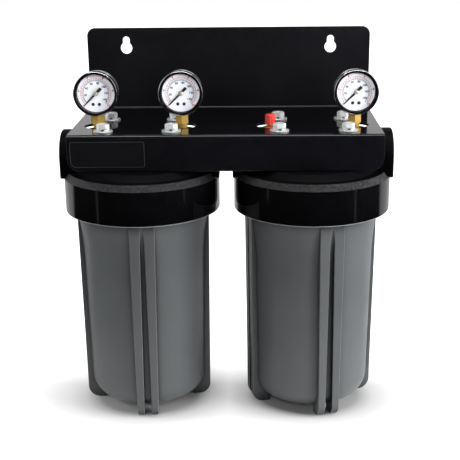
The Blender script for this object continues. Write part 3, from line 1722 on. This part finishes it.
def makeFloor(plan):
    floor = planePiece("studioFloor", plan["floorSize"], (0, 0, 0))
    finish, tree, shader = newFinish(
        "studioFloorPaint",
        Roughness=0.9,
        Specular_IOR_Level=0.1,
        Emission_Color=(1, 1, 1, 1),
    )
    place = addNode(tree, "TexCoord")
    path = addNode(tree, "LightPath")
    # seen from the camera, the floor fades into the white background around both feet
    depth = plan["glowDepth"]
    deeper = addMath(tree, "VectorMath", "MULTIPLY", value=(1, depth, 1))
    nearer = addMath(tree, "Math", "MINIMUM")
    for index, x in enumerate(stageX):
        foot = (x, (axisY - plan["glowForward"]) * depth, 0)
        fromFoot = addMath(tree, "VectorMath", "DISTANCE", value=foot)
        linkNodes(tree, (deeper, "Vector", fromFoot, 0), (fromFoot, "Value", nearer, index))
    back = addNode(tree, "SeparateXYZ")
    rise = addRange(tree, plan["glowBehind"], To_Max=plan["glowBehind"][2])
    total = addMath(tree, "Math", "ADD")
    reach = plan["glowReach"]
    share = addMath(tree, "Math", "DIVIDE", value=reach)
    glow = addRamp(tree, [(far / reach, value) for far, value in plan["glowAt"]])
    seen = addMath(tree, "Math", "MULTIPLY")
    tone = addNode(
        tree, "Mix", data_type="RGBA", A=plan["bounceColour"], B=plan["floorColour"]
    )
    linkNodes(
        tree,
        (place, "Object", deeper, 0),
        (place, "Object", back, "Vector"),
        (back, "Y", rise, "Value"),
        (nearer, "Value", share, 0),
        (share, "Value", glow, "Fac"),
        (glow, "Color", total, 0),
        (rise, "Result", total, 1),
        (total, "Value", seen, 0),
        (path, "Is Camera Ray", seen, 1),
        (seen, "Value", shader, "Emission Strength"),
        (path, "Is Camera Ray", tone, "Factor"),
        (tone, "Result", shader, "Base Color"),
    )
    # in reflections, the floor is light around the feet and behind, dark in front
    near, far, dark, light = plan["mirror"]
    distance = addMath(tree, "VectorMath", "LENGTH")
    away = addRange(tree, (near, far))
    toward = addMath(tree, "VectorMath", "NORMALIZE")
    split = addNode(tree, "SeparateXYZ")
    behind = addRange(tree, backEdge, To_Min=dark, To_Max=light)
    mirrored = addNode(tree, "Emission")
    swapped = addMath(tree, "Math", "MULTIPLY")
    mix = addNode(tree, "MixShader")
    linkNodes(
        tree,
        (place, "Object", distance, 0),
        (distance, "Value", away, "Value"),
        (place, "Object", toward, 0),
        (toward, "Vector", split, "Vector"),
        (split, "Y", behind, "Value"),
        (behind, "Result", mirrored, "Strength"),
        (away, "Result", swapped, 0),
        (path, "Is Glossy Ray", swapped, 1),
        (swapped, "Value", mix, "Fac"),
        (shader, "BSDF", mix, 1),
        (mirrored, "Emission", mix, 2),
        (mix, "Shader", tree.nodes["Material Output"], "Surface"),
    )
    floor.data.materials.append(finish)


# what polished faces see: sine of the height, brightness of the wall behind
wallBehind = ((-0.1, 0.75), (0.1, 0.75), (0.2, 0.75), (0.6, 0.75), (0.9, 0.1))
backEdge = (0.28, 0.38)
sideEdge = (0.70, 0.80)


def makeWorld(plan):
    world = bpy.data.worlds.new("studioWorld")
    bpy.context.scene.world = world
    world.use_nodes = True
    tree = world.node_tree
    tree.nodes.clear()
    place = addNode(tree, "TexCoord")
    path = addNode(tree, "LightPath")
    split = addNode(tree, "SeparateXYZ")
    # the wall behind, and bright walls on both sides for the metal rims
    height = addNode(tree, "MapRange", From_Min=-1)
    ramp = addRamp(tree, [((sine + 1) / 2, grey) for sine, grey in wallBehind])
    behind = addRange(tree, backEdge, To_Min=plan["wallInFront"])
    across = addMath(tree, "Math", "ABSOLUTE")
    side = addRange(tree, sideEdge, To_Max=plan["wallAside"])
    brighter = addMath(tree, "Math", "MAXIMUM")
    mirrored = addNode(tree, "Background")
    lit = addNode(tree, "Background", Color=(0.98, 0.99, 1.0, 1), Strength=plan["worldLight"])
    seen = addNode(tree, "Background", Color=(1, 1, 1, 1))
    reflect = addNode(tree, "Math", operation="ADD", use_clamp=True)
    firstMix = addNode(tree, "MixShader")
    lastMix = addNode(tree, "MixShader")
    out = addNode(tree, "OutputWorld")
    linkNodes(
        tree,
        (place, "Generated", split, "Vector"),
        (split, "Z", height, "Value"),
        (height, "Result", ramp, "Fac"),
        (split, "Y", behind, "Value"),
        (split, "X", across, 0),
        (across, "Value", side, "Value"),
        (behind, "Result", brighter, 0),
        (side, "Result", brighter, 1),
        (ramp, "Color", mirrored, "Color"),
        (brighter, "Value", mirrored, "Strength"),
        (path, "Is Glossy Ray", reflect, 0),
        (path, "Is Transmission Ray", reflect, 1),
        (reflect, "Value", firstMix, "Fac"),
        (lit, "Background", firstMix, 1),
        (mirrored, "Background", firstMix, 2),
        (path, "Is Camera Ray", lastMix, "Fac"),
        (firstMix, "Shader", lastMix, 1),
        (seen, "Background", lastMix, 2),
        (lastMix, "Shader", out, "Surface"),
    )


# each softbox: place, size across and up, watts, whether polished faces show it
softboxes = {
    "softboxTop": ((0.0, -0.25, 1.75), (1.8, 0.35), 12, True),
    "softboxRight": ((1.25, -0.40, 0.46), (0.7, 0.9), 42, False),
    "softboxLeft": ((-1.4, -0.05, 0.55), (0.3, 0.9), 14, False),
    "softboxFront": ((-0.35, -1.70, 1.20), (1.4, 0.6), 13, False),
    "stripRight": ((0.88, -0.45, 0.25), (0.06, 0.5), 0.02, True),
    "stripLeft": ((-0.88, -0.45, 0.25), (0.06, 0.5), 0.02, True),
}


def makeLights():
    aim = Vector((0, 0, 0.25))
    for name, (place, size, watts, mirrored) in softboxes.items():
        bpy.ops.object.light_add(type="AREA", location=place)
        lamp = bpy.context.object
        lamp.name = name
        lamp.data.shape = "RECTANGLE"
        lamp.data.size, lamp.data.size_y = size
        lamp.data.energy = watts
        lamp.visible_glossy = mirrored
        lamp.rotation_euler = (aim - Vector(place)).to_track_quat("-Z", "Y").to_euler()


def makeCamera(plan):
    bpy.ops.object.camera_add(location=plan["cameraPlace"])
    camera = bpy.context.object
    camera.rotation_euler = [math.radians(angle) for angle in plan["cameraTurn"]]
    camera.data.sensor_width = plan["sensor"]
    camera.data.lens = plan["sensor"] * plan["focalPixels"] / plan["imagePixels"]
    camera.data.clip_start = 0.05
    camera.data.clip_end = 50
    bpy.context.scene.camera = camera


makeFloor(stagePlan)
makeWorld(stagePlan)
makeLights()
makeCamera(stagePlan)
bpy.context.scene.view_settings.view_transform = "Standard"
print("stage made")
